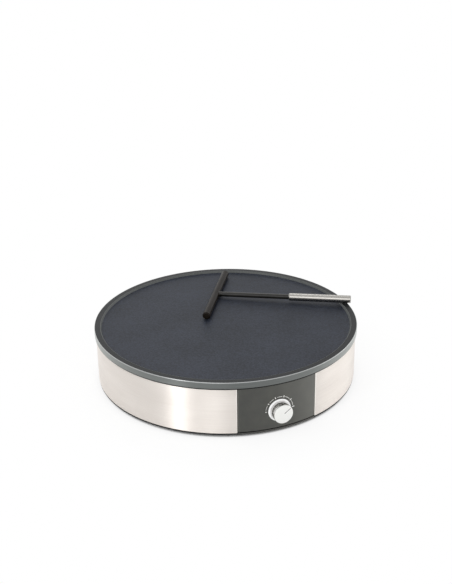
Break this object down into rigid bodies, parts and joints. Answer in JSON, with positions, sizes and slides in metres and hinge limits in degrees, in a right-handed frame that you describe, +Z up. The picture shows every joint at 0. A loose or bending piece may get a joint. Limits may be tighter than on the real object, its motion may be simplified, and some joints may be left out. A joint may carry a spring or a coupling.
{
  "type": "electric crepe maker",
  "caption": "Round electric crepe maker: cast plate with a low rim on a brushed steel drum, a front panel with one rotary thermostat knob, and a T-shaped batter spreader.",
  "frame": {"origin": "on the drum's axis at table level, under the feet", "axes": "+Z up, -Y towards the user, who faces the control panel, +X to the user's right"},
  "size_m": [0.4056, 0.4223, 0.1012],
  "materials": {
    "nonstick_plate": "cast aluminium with a dark blue-grey non-stick coating",
    "brushed_band": "fine horizontal brushing",
    "panel_grey": "dark grey satin plastic",
    "base_black": "black moulded plastic",
    "ring_black": "black heat-proof plastic",
    "foot_rubber": "black rubber",
    "light_white": "translucent white plastic",
    "collar_silver": "satin chrome",
    "knob_chrome": "bright chrome",
    "knob_satin": "satin aluminium disc",
    "pointer_grey": "grey inlay",
    "heater_steel": "oxidised steel tube",
    "plated_steel": "zinc-plated steel",
    "shield_steel": "aluminised steel sheet",
    "brass_parts": "brass",
    "ceramic_body": "cream ceramic",
    "board_green": "green circuit board",
    "lamp_white": "light-emitting diodes",
    "copper_tube": "copper capillary",
    "block_white": "white nylon",
    "sleeve_clear": "insulated push-on connectors",
    "lead_brown": "brown silicone insulation",
    "lead_black": "black silicone insulation",
    "lead_blue": "blue silicone insulation",
    "lead_earth": "green and yellow silicone insulation",
    "spreader_black": "black heat-proof plastic bar",
    "rod_black": "black coated steel rod",
    "handle_steel": "polished steel tube"
  },
  "bodies": {
    "appliance": {"cooking_plate": "nonstick_plate", "heating_element": "heater_steel", "heater_terminals": "plated_steel", "heat_shield": "shield_steel", "plate_spacers": "plated_steel", "plate_screws": "plated_steel", "sensor_bulb": "copper_tube", "bulb_clip": "plated_steel", "thermal_cutout": "ceramic_body", "sensor_screws": "plated_steel", "earth_tag": "brass_parts", "earth_screw": "brass_parts", "support_ring": "ring_black", "steel_band": "brushed_band", "control_panel": "panel_grey", "base_pan": "base_black", "rubber_feet": "foot_rubber", "ring_screws": "plated_steel", "panel_screws": "plated_steel", "light_ring": "light_white", "knob_collar": "collar_silver", "light_board": "board_green", "board_lamps": "lamp_white", "thermostat_body": "ceramic_body", "thermostat_terminals": "brass_parts", "thermostat_bracket": "plated_steel", "thermostat_screws": "plated_steel", "capillary_tube": "copper_tube", "terminal_block": "block_white", "terminal_screws": "brass_parts", "block_screws": "plated_steel", "cord_gland": "base_black", "gland_nut": "base_black", "cord_clamp": "base_black", "clamp_screws": "plated_steel", "lead_connectors": "sleeve_clear", "live_lead": "lead_brown", "switched_lead": "lead_black", "element_lead": "lead_black", "neutral_lead": "lead_blue", "earth_lead": "lead_earth"},
    "temperature_knob": {"knob_body": "knob_chrome", "knob_cap": "knob_satin", "knob_pointer": "pointer_grey", "thermostat_shaft": "plated_steel", "shaft_clip": "plated_steel"},
    "batter_spreader": {"spreader_head": "spreader_black", "spreader_rod": "rod_black", "spreader_handle": "handle_steel", "handle_cap": "spreader_black"}
  },
  "joints": [
    {"name": "knob_turn", "type": "hinge", "parent": "appliance", "child": "temperature_knob", "pos_m": [0, -0.2, 0.0362], "axis": [0, 1, 0], "range_deg": [-144, 36]},
    {"name": "spreader_lift", "type": "slide", "parent": "appliance", "child": "batter_spreader", "axis": [0, 0, 1], "range_m": [0, 0.08]}
  ]
}
